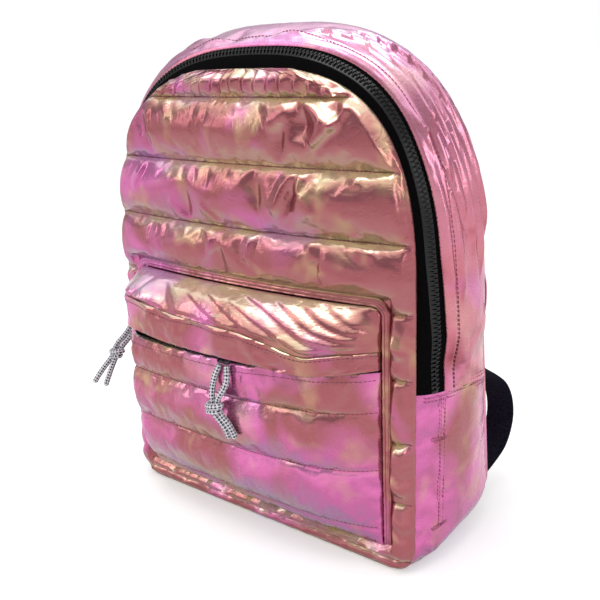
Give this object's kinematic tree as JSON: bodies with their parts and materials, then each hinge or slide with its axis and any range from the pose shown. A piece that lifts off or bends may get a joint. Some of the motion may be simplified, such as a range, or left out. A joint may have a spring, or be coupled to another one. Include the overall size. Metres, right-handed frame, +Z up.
{
  "type": "quilted puffer backpack",
  "caption": "Backpack with a quilted padded front, a zipped front pocket, a wide zipped gusset and padded shoulder straps.",
  "frame": {"origin": "middle of the bag's box, without its pull cords, on the surface that it stands on", "axes": "+Z up, the pocket faces -Y, +X is the bag's side at the right when looking at the pocket"},
  "size_m": [0.3527, 0.2255, 0.4116],
  "materials": {
    "quilted_fabric": "metallic iridescent rose coating, glossy",
    "gusset_fabric": "metallic iridescent pink coating, glossy",
    "black_tape": "matte woven zip tape",
    "zip_teeth": "moulded plastic teeth",
    "slider_metal": "black painted",
    "black_plastic": "moulded",
    "black_webbing": "ribbed woven webbing",
    "pull_cord": "braided, white and black flecks"
  },
  "bodies": {
    "root": {"front_panel": "quilted_fabric", "back_panel": "gusset_fabric", "upper_gusset": "gusset_fabric", "lower_gusset": "quilted_fabric", "main_zip_tape_front": "black_tape", "main_zip_tape_rear": "black_tape", "main_zip_chain": "zip_teeth", "main_slider": "slider_metal", "main_pull_strand_a": "pull_cord", "main_pull_strand_b": "pull_cord", "main_pull_tail_a": "pull_cord", "main_pull_tail_b": "pull_cord", "main_pull_knot": "pull_cord", "pocket_lower_panel": "quilted_fabric", "pocket_upper_panel": "quilted_fabric", "pocket_flap": "quilted_fabric", "pocket_binding": "quilted_fabric", "pocket_zip_tape_lower": "black_tape", "pocket_zip_tape_upper": "black_tape", "pocket_zip_chain": "zip_teeth", "pocket_slider": "slider_metal", "pocket_pull_strand_a": "pull_cord", "pocket_pull_strand_b": "pull_cord", "pocket_pull_tail_a": "pull_cord", "pocket_pull_tail_b": "pull_cord", "pocket_pull_knot": "pull_cord", "shoulder_strap_right": "gusset_fabric", "shoulder_strap_left": "gusset_fabric", "strap_buckle_right": "black_plastic", "strap_buckle_left": "black_plastic", "strap_webbing_right": "black_webbing", "strap_webbing_left": "black_webbing", "haul_loop": "black_webbing"}
  },
  "joints": []
}
